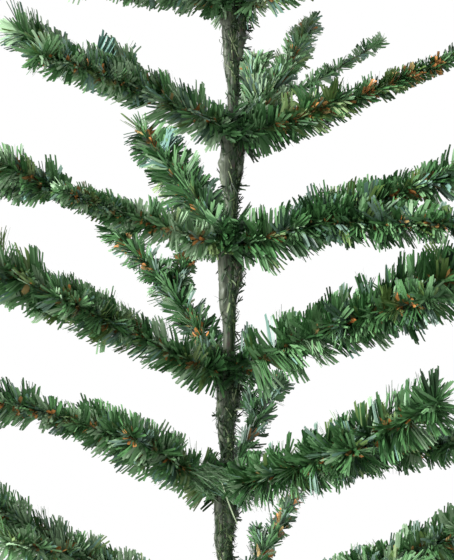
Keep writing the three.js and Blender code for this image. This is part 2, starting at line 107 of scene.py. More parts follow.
# %% A class for shader sums
class Signal:
    """A number, colour or vector that varies over a surface: one output of a shader node."""

    def __init__(self, socket):
        self.socket = socket

    def node(self, kind, settings, sockets, output=0):
        """Adds a node: its settings first, then the values or links of its inputs, and returns an output."""
        tree = self.socket.id_data
        made = tree.nodes.new("ShaderNode" + kind)
        for name, value in settings.items():
            setattr(made, name, value)
        for name, value in sockets.items():
            if isinstance(value, Signal):
                tree.links.new(value.socket, made.inputs[name])
            else:
                made.inputs[name].default_value = value
        return Signal(made.outputs[output])

    def maths(self, operation, other):
        return self.node("Math", {"operation": operation}, {0: self, 1: other})

    def __add__(self, other):
        return self.maths("ADD", other)

    def __mul__(self, other):
        return self.maths("MULTIPLY", other)

    __radd__, __rmul__ = __add__, __mul__

    def between(self, low, high):
        """0 below low, 1 above high, and smooth between."""
        settings = {"interpolation_type": "SMOOTHSTEP"}
        return self.node("MapRange", settings, {"Value": self, "From Min": low, "From Max": high})

    def noise(self, scale, detail=3.0):
        return self.node("TexNoise", {}, {"Vector": self, "Scale": scale, "Detail": detail})

    def mix(self, first, second):
        """A colour: first where self is 0, second where it is 1."""
        settings = {"data_type": "RGBA", "clamp_factor": True}
        colours = [c if isinstance(c, Signal) else (*c, 1.0) for c in (first, second)]
        return self.node("Mix", settings, {0: self, 6: colours[0], 7: colours[1]}, output=2)


def srgb(*screen):
    """A colour as it is read off a screen, 0 to 255, turned to the linear one that a shader takes."""
    value = np.array(screen) / 255
    return np.where(value <= 0.04045, value / 12.92, ((value + 0.055) / 1.055) ** 2.4)


def material(name, colour, roughness, metallic=0.0):
    """A plain material. Its shader and the object's own coordinates come back too, for patterns."""
    made = bpy.data.materials.new(name)
    made.use_nodes = True
    shader = made.node_tree.nodes["Principled BSDF"]
    shader.inputs["Base Color"].default_value = (*colour, 1.0)
    shader.inputs["Roughness"].default_value = roughness
    shader.inputs["Metallic"].default_value = metallic
    place = Signal(made.node_tree.nodes.new("ShaderNodeTexCoord").outputs["Object"])
    return made, shader, place


def feed(shader, name, signal):
    shader.id_data.links.new(signal.socket, shader.inputs[name])


def feed_bump(shader, height, distance):
    """Lets a height, in 0 to 1, stand out of the surface by a distance in metres."""
    feed(shader, "Normal", height.node("Bump", {}, {"Height": height, "Distance": distance}))

# %% [markdown]
# ## The tree's plan
# The frame's solids grew by a rule: levels of three boughs, each a wire that leaves the pole at an azimuth
# and climbs at a rise, most of them with a twig or two. The same rule is written again here, with the same
# seeds, so that the needles stand exactly along the solids that they replace. Sizes are in millimetres from
# here on.

# %% Sizes of the tree
TREE_HEIGHT = 1800
LEVELS = 10
LOWEST_LEVEL = 310
LEVEL_SPACING = 150
TIP_RADIUS = 60
REACH_PER_DROP = 0.25
POLE_RADIUS = 7.5
UPPER_POLE_RADIUS = 6.5
NEEDLE_REACH = 39
SEAT_GAP = 0.3

LEG_RADIUS = 6.5
LEG_OFFSET = 8.5
LEG_FACE = LEG_OFFSET + LEG_RADIUS * math.cos(math.pi / 6)
LEG_RISE = 7
LEG_STRAIGHT = 0.6  # of its length, before it thins
LEG_THINNING, LEG_SINKING = 0.7, 0.56  # at its end: of its radius, and of its offset
LEG_LENGTHS = [108, 76, 92]

SPRAY_PITCH = 24
TWIG_FORKS = [0.4, 0.54]
TWIG_RUN = 0.42
TWIG_RUN_JITTER = 0.1
TWIG_DROOP = 3
TWIG_SWEEP = 0.35
WOBBLE = 4

UPPER_TURN = 60
UPPER_START = 30
UPPER_SIDES = [["back_right", "back_left", "front"], ["back", "left", "right"]]
UPPER_RISE = 21
UPPER_RISE_STEP = 5
UPPER_JITTER = 8
UPPER_SEED = 4000
TWIGGY_UPPER_LEVELS = 3


def bough(side, azimuth, rise, bend, *twigs, lift=0, full=(1,), lean=0.5,
          stand=0.0, pale=0.0, hue=0.0, sparse=0.0, flakes=6):
    """lift is how far the bough starts above its level. full holds the brush's thickness at even places
    along the wire, and lean how far its sprays lean forward. The rest is its look: how much less than that
    its needles lean, how much lighter its greens are, how much more olive (or, below 0, more blue), the
    share of its needles that is missing, and how many brown flakes there are in a group. A call gives all
    of these as a dictionary, by name."""
    return locals()


def twig(turn, fork=None, run=TWIG_RUN, droop=TWIG_DROOP, full=(1, 0.85), sparse=0.0):
    return locals()


SHOWN_LEVELS = [
    (8, [
        bough("left", 203, 17.1, 0.24, twig(26, run=0.3), twig(-22),
              lift=4, full=(1, 0.85, 0.85, 1, 1), lean=0.7, pale=0.4),
        bough("right", 322, 16.4, 0.13, twig(-26, run=0.3), twig(24), full=(1, 0.8, 0.85, 1, 1), pale=0.28),
        bough("back", 76, 17.5, -0.1, twig(22, run=0.2, full=(0.6,)), full=(0.8, 0.5),
              lean=0.9, pale=-0.1, hue=-1.4, sparse=0.62),
    ]),
    (5, [
        bough("left", 201, 30, -0.26, twig(24, fork=0.12, run=0.22), twig(-24, fork=0.2, run=0.2),
              lift=5, full=(1, 1, 1.15, 0.72, 0.62, 0.95, 1.1, 1.2), lean=0.6, pale=0.2),
        bough("right", 304, 11.5, 0.13, twig(28, run=0.5, droop=0, full=(0.9, 0.7)),
              twig(-24, run=0.2, droop=4), lift=8, full=(1, 1.05, 1.1, 1.2, 1.05)),
        bough("back", 79, 31, -0.3, twig(24, run=0.2, full=(0.6,)), full=(0.9, 0.65),
              lean=0.9, pale=-0.2, hue=-1.5, sparse=0.65),
    ]),
    (0, [
        bough("left", 208, 23, 0.01, twig(26, run=0.3), twig(-22), full=(1, 0.95, 0.95, 1.3, 1.2),
              lean=0.85, pale=0.18, hue=0.3),
        bough("right", 333, 22.5, 0, twig(-26, run=0.46, droop=10), twig(22, droop=-2),
              lift=9, full=(1.2, 1.2, 1.2, 1.35, 1.15)),
        bough("back", 118.5, 34, -0.13, twig(-52, fork=0.45, run=0.22, droop=-4, full=(0.6,)),
              full=(0.75, 0.82, 0.78, 0.6), lean=0.8, stand=0.5, pale=-0.08, hue=-0.4, sparse=0.25),
    ]),
    (11, [
        bough("left", 199, 14, 0.08, twig(26, run=0.3, droop=0, full=(0.5,)),
              twig(-20, fork=0.7, run=0.3, droop=8, full=(0.9, 0.6)),
              full=(0.7, 0.8, 0.75, 0.65, 0.5, 0.72, 0.85, 0.3), lean=0.6, pale=0.23),
        bough("right", 345, 15, 0.08, twig(-22, fork=0.3, run=0.85, droop=16, full=(1, 1, 0.75, 0.4)),
              twig(22, fork=0.2, run=0.45, droop=-5), full=(1.1, 1.1, 1.15, 0.85, 0.55, 1.05, 0.95)),
        bough("back", 113, 24.5, 0.08, twig(-24, run=0.2, full=(0.8,)), full=(0.95, 1.05, 0.85),
              stand=0.4, pale=-0.06, hue=-0.5, sparse=0.15),
    ]),
    (-2, [
        bough("left", 209, 18.6, 0.01, twig(28, run=0.72, droop=11, full=(0.8, 0.85)),
              twig(-20, fork=0.14, run=0.36, droop=-15, full=(0.5, 0.6, 0.9)),
              lift=9, full=(1, 1.05, 1.05, 1, 0.95, 0.75, 0.8, 1), lean=0.95, pale=0.27),
        bough("right", 5, 16.8, 0.09, twig(-22, fork=0.25, run=0.2, droop=-6),
              full=(1, 0.85, 0.6, 0.52, 0.4, 0.42), pale=-0.1, hue=1.2, sparse=0.25, flakes=14),
        bough("back", 67.5, 29.5, 0.1,
              twig(-29, fork=0.15, run=0.88, droop=3, full=(0.7, 0.5, 0.35, 0.4), sparse=0.58),
              twig(28, fork=0.2, run=0.55, droop=1), full=(1.1, 0.9, 0.75, 0.65, 0.5), lean=0.7, pale=0.3),
    ]),
    (10, [
        bough("left", 205, 9, 0.05, twig(26), twig(-22), full=(0.8, 1), pale=0.32),
        bough("right", 335, 20, 0, twig(-24), twig(22), full=(0.85, 1), pale=0.28),
        bough("back", 110, 24, 0, twig(22), twig(-24), pale=0.2),
    ]),
]

# %% [markdown]
# The levels above the picture are each turned by a sixth of a circle from the one below, and stand up more
# steeply. The frame's small generator of chance is written again too, so that each bough comes out as it did
# there. A bough keeps to its own space, between planes half way to the boughs on its two sides.

# %% The rule for boughs
def random_from(seed):
    state = seed

    def draw():
        nonlocal state
        state = (state * 16807) % 2147483647
        return state / 2147483647

    return draw


def level_height(level):
    lift = SHOWN_LEVELS[level][0] if level < len(SHOWN_LEVELS) else 0
    return LOWEST_LEVEL + LEVEL_SPACING * level + lift


def upper_boughs(level):
    step = level - len(SHOWN_LEVELS)
    random = random_from(UPPER_SEED + level)
    boughs = []
    for k, side in enumerate(UPPER_SIDES[step % 2]):
        azimuth = UPPER_START + UPPER_TURN * (step % 2) + 120 * k + UPPER_JITTER * (random() - 0.5)
        rise = UPPER_RISE + UPPER_RISE_STEP * step + UPPER_JITTER * (random() - 0.5)
        twigs = [twig(25), twig(-25)] if step < TWIGGY_UPPER_LEVELS else []
        boughs.append(bough(side, azimuth, rise, 0, *twigs))
    return boughs


def plan_boughs():
    plan = []
    for level in range(LEVELS):
        boughs = SHOWN_LEVELS[level][1] if level < len(SHOWN_LEVELS) else upper_boughs(level)
        reach = TIP_RADIUS + REACH_PER_DROP * (TREE_HEIGHT - level_height(level))
        for k, one in enumerate(boughs):
            gaps = [(other["azimuth"] - one["azimuth"]) % 360 for other in boughs if other is not one]
            plan.append({
                **one,
                "level": level,
                "name": f"bough_{level + 1}_{one['side']}",
                "seed": 100 * (level + 1) + 10 * (k + 1),
                "height": level_height(level) + one["lift"],
                "run": reach - LEG_FACE,
                "leg": LEG_LENGTHS[k],
                "edges": [one["azimuth"] + gap / 2 for gap in (max(gaps) - 360, min(gaps))],
            })
    return plan


PLAN = plan_boughs()
POLE_TOP = level_height(LEVELS - 1) + LEG_RISE + 2
POLE_JOINT = level_height(4) + 30
print("boughs planned:", len(PLAN), " pole's top at", POLE_TOP, "mm")

# %% [markdown]
# A wire is a line of points and directions. It is cut finer here than in the frame, because needles stand
# close together along it.

# %% The rule for wires
FINER = 12  # steps here for each step of the frame's wires


def unit(vectors):
    """Each row, at a length of 1."""
    return vectors / np.linalg.norm(vectors, axis=-1, keepdims=True)


def polar(radius, angle, height):
    """Points at a radius and an angle (in radians) about the pole's axis."""
    return np.stack([radius * np.cos(angle), radius * np.sin(angle), height], axis=-1)


def wire_line(start, azimuth, turn, rise, bend, run, wobble, steps):
    """The middle line of a wire, as arrays of points and unit directions."""
    share = (np.arange(steps * FINER + 1) + 0.5) / (steps * FINER)
    heading = np.radians(azimuth + turn * (1 - TWIG_SWEEP * share) + wobble * np.sin(math.tau * share))
    climb = math.tan(math.radians(rise)) + 2 * bend * share
    step = polar(1, heading, climb)
    points = np.cumsum(np.vstack([start, step[:-1] * (run / (steps * FINER))]), axis=0)
    return points, unit(step)


def bough_wires(one):
    """The bough's own wire, then its twigs' wires."""
    random = random_from(one["seed"])

    def steps_over(run):
        return max(2, math.floor(run / math.cos(math.radians(one["rise"])) / SPRAY_PITCH + 0.5))

    start = polar(LEG_FACE + SEAT_GAP, math.radians(one["azimuth"]), one["height"])
    wobble = WOBBLE * (2 * random() - 1)
    steps = steps_over(one["run"])
    lines = [wire_line(start, one["azimuth"], 0, one["rise"], one["bend"], one["run"], wobble, steps)]
    for k, twig_plan in enumerate(one["twigs"]):
        fork = TWIG_FORKS[k] if twig_plan["fork"] is None else twig_plan["fork"]
        run = twig_plan["run"] * one["run"] * (1 + TWIG_RUN_JITTER * (2 * random() - 1))
        root = lines[0][0][math.floor(fork * steps + 0.5) * FINER]
        rise = one["rise"] - twig_plan["droop"]
        lines.append(wire_line(root, one["azimuth"], twig_plan["turn"], rise, 0, run, 0, steps_over(run)))
    return lines


WIRES = {one["name"]: bough_wires(one) for one in PLAN}
wire_metres = sum(np.linalg.norm(np.diff(p, axis=0), axis=1).sum() for w in WIRES.values() for p, _ in w) * MM
print("wire in all:", round(wire_metres, 2), "m")

# %% [markdown]
# ## Greens and browns
# The needles are slit from coloured plastic film. Their greens run from a near black green, partly painted
# shade for the depth of a brush, to a pale grey green, partly a painted highlight where the film shines, and
# a few needles take a cold, bluish green that is a painted glint. Each needle takes one plain colour, because
# a pattern on so many small faces would blur when the model is exported. The needles of one comb get nearly
# the same tone, and tones drift slowly along a wire.

# %% Needle colours
NEEDLE_COLOURS = [
    # name, colour, roughness, share of the needles, from dark to light
    # partly painted shade
    ("needle_deep", srgb(33, 63, 32), 0.42, 0.12),
    ("needle_dark", srgb(52, 91, 50), 0.40, 0.25),
    ("needle_green", srgb(74, 115, 69), 0.40, 0.28),
    ("needle_leaf", srgb(100, 139, 94), 0.42, 0.22),
    # a painted glint
    ("needle_painted_glint", srgb(108, 143, 130), 0.45, 0.03),
    # partly a painted highlight
    ("needle_light", srgb(137, 165, 130), 0.48, 0.10),
]
TINTED_COLOURS = [
    # name, colour, roughness, and the colour that it stands in for
    ("needle_olive", srgb(82, 107, 56), 0.42, 2),
    ("needle_pale_olive", srgb(116, 138, 90), 0.45, 3),
    ("needle_teal", srgb(68, 93, 76), 0.38, 2),
    ("needle_pale_teal", srgb(110, 136, 122), 0.38, 3),
]
FLAKE_COLOURS = [
    ("flake_brown", srgb(116, 88, 48), 0.55, 0.42),
    ("flake_orange", srgb(184, 126, 70), 0.5, 0.34),
    ("flake_straw", srgb(164, 142, 92), 0.5, 0.24),
]
FILM_GLOSS = 0.32


def plain_materials(colours):
    made = []
    for name, colour, roughness, _ in colours:
        surface, shader, _ = material(name, colour, roughness)
        shader.inputs["Specular IOR Level"].default_value = FILM_GLOSS
        made.append(surface)
    return made


NEEDLE_MATERIALS = plain_materials(NEEDLE_COLOURS + TINTED_COLOURS)


DRIFT, COMB_CHANCE, NEEDLE_CHANCE = 0.2, 0.5, 0.1  # what each has to say in a needle's tone
TINT_FROM = 1.2  # of the hue, either way


def deal(colours, drift, rng, per_comb=1, paler=0.0):
    """A colour's number for each needle. Combs of like drift get a like tone, and so do a comb's needles."""
    shares = np.cumsum([share for *_, share in colours])
    tone = 0.5 + DRIFT * drift + paler + COMB_CHANCE * (rng.random(len(drift)) - 0.5)
    tone = np.repeat(tone, per_comb) + NEEDLE_CHANCE * (rng.random(len(drift) * per_comb) - 0.5)
    return np.searchsorted(shares / shares[-1], np.clip(tone, 0, 0.999))


def tint(numbers, hue):
    """Gives needles where the hue is high their olive colours, and where it is low their blue ones."""
    tinted = numbers.copy()
    for k, (*_, plain) in enumerate(TINTED_COLOURS):
        here = hue > TINT_FROM if k < 2 else hue < -TINT_FROM
        tinted[here & (numbers == plain)] = len(NEEDLE_COLOURS) + k
    return tinted

# %% [markdown]
# ## One comb of needles
# The film is slit into needles nearly three millimetres wide, and the twisted wires grip it in tufts. So the
# needles come in small combs that share a direction, with gaps between one comb and the next, and their ends
# are cut off. Three dozen combs are modelled once each, standing on the wire at its origin: x runs along the
# wire towards its tip, z stands straight out. Each needle is a bent strip of three faces.

# %% Combs of needles
NEEDLE_WIDTH = 2.9
NEEDLES_PER_COMB = 5
COMB_PITCH = 2.1  # between the needles of a comb, along the wire
COMB_KINDS = 36
COMB_TWIST, NEEDLE_TWIST = 40, 12  # degrees: how far combs, and needles within one, turn their faces
NEEDLE_SPLAY = 0.8  # degrees along the wire, from one needle of a comb to the next
CURL_SPREAD = 0.3  # of the comb's curl
LENGTH_SHARES, BREADTHS = (0.94, 0.07), (0.8, 1.15)  # a mean and spread, and a range
SLANTS = -0.8, 0.8  # of the cut ends, in mm
ROOT_SPREAD, ROOT_OUT = (0.3, 0.9), 0.6  # of the roots: along and across the wire, and out from its middle
RINGS = [(0.0, 0.7), (0.42, 1.0), (0.76, 1.0), (1.0, 0.8)]  # shares of the length, and of the width there
POINTS_PER_NEEDLE = 2 * len(RINGS)
STRIP_FACES = [(k, k + 1, k + 3, k + 2) for k in range(0, POINTS_PER_NEEDLE - 2, 2)]


def strip(root, direction, across, length, width, curl, slant):
    """One needle's points: a flat strip that bends by curl towards its tip, which is cut off at a slant."""
    points = []
    for share, breadth in RINGS:
        middle = root + direction * (length * share) + curl * share * share
        half = across * (width * breadth / 2) + direction * (slant if share == 1 else 0)
        points += [middle - half, middle + half]
    return points


def comb_of_needles(rng, count, pitch, width, fan, spread, curl_size, reach=NEEDLE_REACH):
    """The points of count needles, side by side along x and standing up along z. fan is the angle in degrees
    from one to the next, spread how far they stray from it, and curl_size how much they bend."""
    points = []
    twist = rng.normal(0, COMB_TWIST)
    curl_turn = rng.uniform(0, math.tau)
    curl_all = np.array([math.cos(curl_turn), math.sin(curl_turn), -0.15]) * abs(rng.normal(0, curl_size))
    for i in range(count):
        place = i - (count - 1) / 2
        lean = math.radians(rng.normal(NEEDLE_SPLAY * place, spread))
        tilt = math.radians(fan * place + rng.normal(0, spread))
        direction = unit(np.array([math.sin(lean), math.sin(tilt), math.cos(lean) * math.cos(tilt)]))
        turn = math.radians(twist + rng.normal(0, NEEDLE_TWIST))
        across = np.array([math.cos(turn), math.sin(turn), 0])
        across = unit(across - direction * across.dot(direction))
        curl = reach * (curl_all + rng.normal(0, CURL_SPREAD * curl_size, 3))
        length = reach * min(1, rng.normal(*LENGTH_SHARES))
        root = np.array([pitch * place, 0, ROOT_OUT]) + [*rng.normal(0, ROOT_SPREAD), 0]
        breadth, slant = width * rng.uniform(*BREADTHS), rng.uniform(*SLANTS)
        points += strip(root, direction, across, length, breadth, curl, slant)
    return np.array(points)


def comb_kinds(rng, **sizes):
    return np.array([comb_of_needles(rng, **sizes) for _ in range(COMB_KINDS)])


COMBS = comb_kinds(
    default_rng(1), count=NEEDLES_PER_COMB, pitch=COMB_PITCH, width=NEEDLE_WIDTH,
    fan=2.5, spread=2.6, curl_size=0.07,
)
print("combs:", COMBS.shape)

# %% [markdown]
# Stamping puts a comb on a wire: it is turned about the wire, leaned towards the tip and sized to the brush
# at that place. A wire's combs are stamped at once as one array of points, and a level's become one mesh.
# Every mesh here is then finished in one way: it becomes an object, rides on the frame's one body, and
# hides the solids that it replaces.

# %% Stamp combs along wires
def frames_along(directions):
    """For each direction of a wire, the level vector beside it and the vector that completes the frame."""
    side = np.stack([-directions[:, 1], directions[:, 0], np.zeros(len(directions))], axis=1)
    length = np.linalg.norm(side, axis=1, keepdims=True)
    side = np.where(length > 1e-3, side / np.maximum(length, 1e-9), [1.0, 0.0, 0.0])
    return side, np.cross(directions, side)


def some(templates, count, rng):
    return templates[rng.integers(0, COMB_KINDS, count)]


def stamp(combs, roots, directions, angles, scales, leans):
    """The points of one comb per root, as an array of (comb, point, xyz). directions may be one for all."""
    side, up = frames_along(directions)
    cos, sin = np.cos(angles)[:, None], np.sin(angles)[:, None]
    out = side * cos + up * sin
    around = up * cos - side * sin
    x, y, z = np.moveaxis(combs, 2, 0)[..., None]
    z = z * scales[:, None, None]
    slope = np.sqrt(1 + leans**2)[:, None, None]
    forward = (x + z * (leans[:, None, None] / slope)) * directions[:, None]
    return roots[:, None] + forward + y * around[:, None] + z / slope * out[:, None]


def finished(name, mesh, surfaces, slot, *nodes):
    """Makes a smooth mesh an object of the scene, in the place of the frame's nodes."""
    for surface in surfaces:
        mesh.materials.append(surface)
    mesh.polygons.foreach_set("use_smooth", np.ones(len(mesh.polygons), dtype=bool))
    piece = placed(name, mesh)
    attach(piece, "root")
    if nodes:
        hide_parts(*nodes)
    print(name, len(mesh.polygons), "faces")


def strips_piece(name, points, colours, surfaces, *nodes):
    """A mesh of strips: points is (comb, point, xyz) in millimetres, and colours a number for each needle."""
    needles = points.size // (3 * POINTS_PER_NEEDLE)
    first = np.arange(needles)[:, None, None] * POINTS_PER_NEEDLE
    corners = (first + np.array(STRIP_FACES)).reshape(-1, 4)
    mesh = bpy.data.meshes.new(name)
    mesh.from_pydata((points.reshape(-1, 3) * MM).tolist(), [], corners.tolist())
    mesh.polygons.foreach_set("material_index", np.repeat(colours, len(STRIP_FACES)).astype(np.int32))
    finished(name, mesh, surfaces, "needles", *nodes)


def dealt_piece(name, sets, colours, tones, rng):
    """Sets of combs as one mesh, with colours dealt out by tones: sets of one for each comb, or None."""
    points = np.concatenate(sets)
    tones = rng.normal(0, 1, len(points)) if tones is None else np.concatenate(tones)
    numbers = deal(colours, tones, rng, points.shape[1] // POINTS_PER_NEEDLE)
    strips_piece(name, points, numbers, plain_materials(colours))

# %% [markdown]
# ## The boughs' needles
# Near the pole the needles stand upright, and further out most of them lean towards the tip, by 25 to 45
# degrees. The brushes were packed flat in a box, so their thickness wanders along the wire, and combs cling
# together into slabs that wind round it, with gaps between. A few slow waves along and around the wire say
# where the needles are dense, long, light and olive. A third of the combs are short and lie every way, which
# hides the wire. A comb that would cross into the next bough's space, or into the pole, is left out.

# %% Brushes
COMB_STEP = 0.62  # along a wire, from one comb to the next, before they cling together
SLAB_PITCH = 14.0  # along a wire, from one slab of needles to the next
SLAB_PULL = 0.7  # how far combs are drawn together into slabs, from 0 to 1
INNER_SHARE = 0.33  # of the combs, which are short, lie every way and hide the wire
INNER_SCALES = 0.4, 0.7
INNER_SHADE = 0.3  # how much darker they are
NECK_LEAN = 0.05
NECK_RUN = 0.15
NECK_REACH = 0.92
TWIG_SLIMMING = 0.12
INNER_SPREAD, TWIG_SPREAD, BOUGH_SPREAD = 1.0, 0.35, 0.18  # of how far the needles lean
LEAN_WAVE, LENGTH_WAVE, LENGTH_SPREAD = 0.14, 0.07, 0.06
TIP_BACKS, TIP_LEANS, TIP_SCALES = (0, 5), (1.2, 3.5), (0.5, 0.75)  # of the combs that close a wire's end
CLING, CLING_PITCH = 0.3, 40  # how far combs cling together around the wire, and how fast that winds, in mm
WAVE_LENGTHS = 12, 55
THINNEST = -1.2  # there are no needles where the wave of density is below this
MIDDLE_TIP = POINTS_PER_NEEDLE * (NEEDLES_PER_COMB // 2 + 1) - 1  # of a comb's points
POLE_SPACE = 15.5
LEADER_OPENING = 0.4
GOLDEN_ANGLE = math.pi * (3 - math.sqrt(5))


def lengths_along(line):
    return np.concatenate([[0], np.cumsum(np.linalg.norm(np.diff(line[0], axis=0), axis=1))])


def places_on(line, at):
    """Points, directions and shares of the run at some distances along a wire."""
    lengths = lengths_along(line)
    place, heading = (np.stack([np.interp(at, lengths, row) for row in part.T], axis=1) for part in line)
    return place, unit(heading), at / lengths[-1]


def along_wire(line, step, start=0.0):
    """The same at even steps."""
    return places_on(line, np.arange(start, lengths_along(line)[-1], step))


def in_slabs(at, angles, rng):
    """Draws combs together along the wire into slabs, which wind round it."""
    phase = math.tau * at / SLAB_PITCH + 2 * angles + rng.uniform(0, math.tau)
    return at + SLAB_PULL * SLAB_PITCH / math.tau * np.sin(phase)


def leader_space(height):
    return POLE_SPACE + LEADER_OPENING * np.maximum(0, height - POLE_TOP)


def in_space(one, tips):
    """True for tips that are clear of the pole and lie between the planes that part the bough's space."""
    clear = np.hypot(tips[:, 0], tips[:, 1]) > leader_space(tips[:, 2])
    for edge, sign in zip(np.radians(one["edges"]), (1, -1)):
        clear &= sign * (tips[:, 1] * np.cos(edge) - tips[:, 0] * np.sin(edge)) > 0
    return clear


def waves(at, angles, rng, count=8):
    """A smooth random value about 0, of spread 1, along the wire (in mm) and around it."""
    total = np.zeros(len(at))
    for k in range(count):
        length = rng.uniform(*WAVE_LENGTHS)
        total += np.cos((k % 4) * angles + math.tau * at / length + rng.uniform(0, math.tau))
    return total / math.sqrt(count / 2)


def needle_colours(tone, hue, rng, pale=0.0):
    numbers = deal(NEEDLE_COLOURS, tone, rng, NEEDLES_PER_COMB, pale)
    return tint(numbers, np.repeat(hue, NEEDLES_PER_COMB))


def brush(one, line, full, sparse, is_twig, rng):
    """The stamped combs of one wire, and their needles' colours."""
    at = np.arange(0, lengths_along(line)[-1], COMB_STEP)
    count = len(at)
    angles = np.arange(count) * GOLDEN_ANGLE + rng.normal(0, 0.3, count)
    angles += CLING * np.sin(3 * angles + math.tau * at / CLING_PITCH + rng.uniform(0, 6))
    at = in_slabs(at, angles, rng)
    roots, directions, share = places_on(line, at)
    density, length, lean, tone, hue = (waves(at, angles, rng) for _ in range(5))
    inner = rng.random(count) < INNER_SHARE
    opening = np.ones(count) if is_twig else np.minimum(1, share / NECK_RUN)
    slim = 1 - TWIG_SLIMMING * share if is_twig else np.ones(count)
    reach = slim * (NECK_REACH + (1 - NECK_REACH) * opening)
    reach *= np.interp(share, np.linspace(0, 1, len(full)), full)
    leans = NECK_LEAN + (one["lean"] - one["stand"] - NECK_LEAN) * opening + LEAN_WAVE * lean
    leans += rng.normal(0, np.where(inner, INNER_SPREAD, TWIG_SPREAD if is_twig else BOUGH_SPREAD))
    scales = reach * (1 + LENGTH_WAVE * length + rng.normal(0, LENGTH_SPREAD, count))
    scales *= np.where(inner, rng.uniform(*INNER_SCALES, count), 1)
    points = stamp(some(COMBS, count, rng), roots, directions, angles, scales, leans)
    keep = in_space(one, points[:, MIDDLE_TIP]) & (density > THINNEST) & (rng.random(count) > sparse)
    tone = tone - np.where(inner, INNER_SHADE, 0)
    return points[keep], needle_colours(tone[keep], hue[keep] + one["hue"], rng, one["pale"])


def tuft_at_tip(line, full, rng, pale=0.0, count=5):
    """Combs that close the end of a wire, each leaning further forward than those along it."""
    end, direction = line[0][-1], line[1][-1:]
    roots = end - direction * rng.uniform(*TIP_BACKS, count)[:, None]
    leans = rng.uniform(*TIP_LEANS, count)
    scales = rng.uniform(*TIP_SCALES, count) * full[-1]
    angles = np.arange(count) * GOLDEN_ANGLE
    points = stamp(some(COMBS, count, rng), roots, direction, angles, scales, leans)
    return points, needle_colours(rng.normal(0, 1, count), rng.normal(0, 1, count), rng, pale)

# %% [markdown]
# Each level becomes one mesh: its three boughs with their twigs, and a tuft that closes the end of each wire.
# It takes the place of the level's three solids.

# %% Needles of each level
for level in range(LEVELS):
    members = [one for one in PLAN if one["level"] == level]
    rng = default_rng(100 + level)
    stamped, colours = [], []
    for one in members:
        for line, plan in zip(WIRES[one["name"]], [one, *one["twigs"]]):
            tip_tuft = tuft_at_tip(line, plan["full"], rng, one["pale"])
            sparse = max(one["sparse"], plan["sparse"])
            for points, numbers in (brush(one, line, plan["full"], sparse, plan is not one, rng), tip_tuft):
                stamped.append(points)
                colours.append(numbers)
    strips_piece(
        f"needles_level_{level + 1}", np.concatenate(stamped), np.concatenate(colours), NEEDLE_MATERIALS,
        *[one["name"] for one in members],
    )

# %% [markdown]
# ## The leader
# The top of the tree is one upright wire. Its needles open out of the pole's end like a shaving brush.

# %% Leader
LEADER_TIP = 22
LEADER_LEAN = 0.47
UP = np.array([[0.0, 0.0, 1.0]])
rng = default_rng(7)
leader_heights = np.linspace(POLE_TOP + SEAT_GAP, TREE_HEIGHT - LEADER_TIP, 60)[:, None]
leader_line = UP * leader_heights, np.repeat(UP, len(leader_heights), axis=0)
roots, directions, _ = along_wire(leader_line, COMB_STEP)
count = len(roots)
room = leader_space(roots[:, 2] + NEEDLE_REACH * LEADER_LEAN) / NEEDLE_REACH
leader_combs = some(COMBS, count, rng)
scales = np.minimum(1, room) * rng.normal(1, 0.05, count)
leans = LEADER_LEAN * rng.normal(1, 0.2, count)
leader_points = stamp(leader_combs, roots, directions, np.arange(count) * GOLDEN_ANGLE, scales, leans)
tip_points, _ = tuft_at_tip(leader_line, (1,), rng)
leader_points = np.concatenate([leader_points, tip_points])
leader_points[:, :, 2] = np.minimum(leader_points[:, :, 2], TREE_HEIGHT)
leader_tones = rng.normal(0, 1, (2, len(leader_points)))
leader_colours = needle_colours(*leader_tones, rng)
strips_piece("needles_leader", leader_points, leader_colours, NEEDLE_MATERIALS, "leader")

# %% [markdown]
# ## The wires
# Under the needles each brush is two thin wires twisted together. A curve with a round bevel gives them
# their thickness, one spline per strand, and it is then made a mesh.

# %% Twisted wires
STRAND_RADIUS = 0.8
TWIST_PITCH = 7.0
WIRE_STEP = 1.75

painted, rusted = srgb(74, 78, 62), srgb(88, 62, 40)
wire_metal, wire_shader, wire_place = material("wire_metal", painted, 0.45, 0.6)
feed(wire_shader, "Base Color", wire_place.noise(260.0).between(0.45, 0.62).mix(painted, rusted))

curve = bpy.data.curves.new("wires", "CURVE")
curve.dimensions = "3D"
curve.bevel_depth = STRAND_RADIUS * MM
curve.bevel_resolution = 0
curve.resolution_u = 1
all_lines = [line for lines in WIRES.values() for line in lines] + [leader_line]
for line in all_lines:
    place, heading, _ = along_wire(line, WIRE_STEP)
    side, up = frames_along(heading)
    turns = np.arange(len(place)) * WIRE_STEP / TWIST_PITCH * math.tau
    for half in (0, math.pi):
        offset = side * np.cos(turns + half)[:, None] + up * np.sin(turns + half)[:, None]
        strand = curve.splines.new("POLY")
        strand.points.add(len(place) - 1)
        path = (place + offset * STRAND_RADIUS) * MM
        strand.points.foreach_set("co", np.column_stack([path, np.ones(len(path))]).ravel())
wires_curve = placed("wires_curve", curve)
bpy.context.view_layer.update()
wires_mesh = bpy.data.meshes.new_from_object(wires_curve.evaluated_get(bpy.context.evaluated_depsgraph_get()))
bpy.data.objects.remove(wires_curve)
wires_mesh.materials.clear()
finished("twisted_wires", wires_mesh, [wire_metal], "bound_pole")

# %% [markdown]
# ## Brown flakes
# Between the needles the picture shows short orange and brown flecks along every wire: a narrow brown film
# is twisted in with the green, to pass for bark. They come in small groups with bare stretches between. One
# bough at the right has more of them, and sparse wires have few.

# %% Flakes
FLAKE_GROUP_STEP = 24.0
FLAKE_REACH = 16.0
FLAKES_END = 0.93  # of each wire, where the last group may be
FLAKE_RANGES = (0, math.tau), (0.7, 1.2), (0.2, 1.6)  # of the angle, the scale and the lean
LEADER_FLAKES = 5, 0.0  # in a group, and the share of the needles that is missing
rng = default_rng(31)
FLAKE_COMBS = comb_kinds(
    rng, count=3, pitch=2.6, width=4.2, fan=24, spread=14, curl_size=0.2, reach=FLAKE_REACH
)

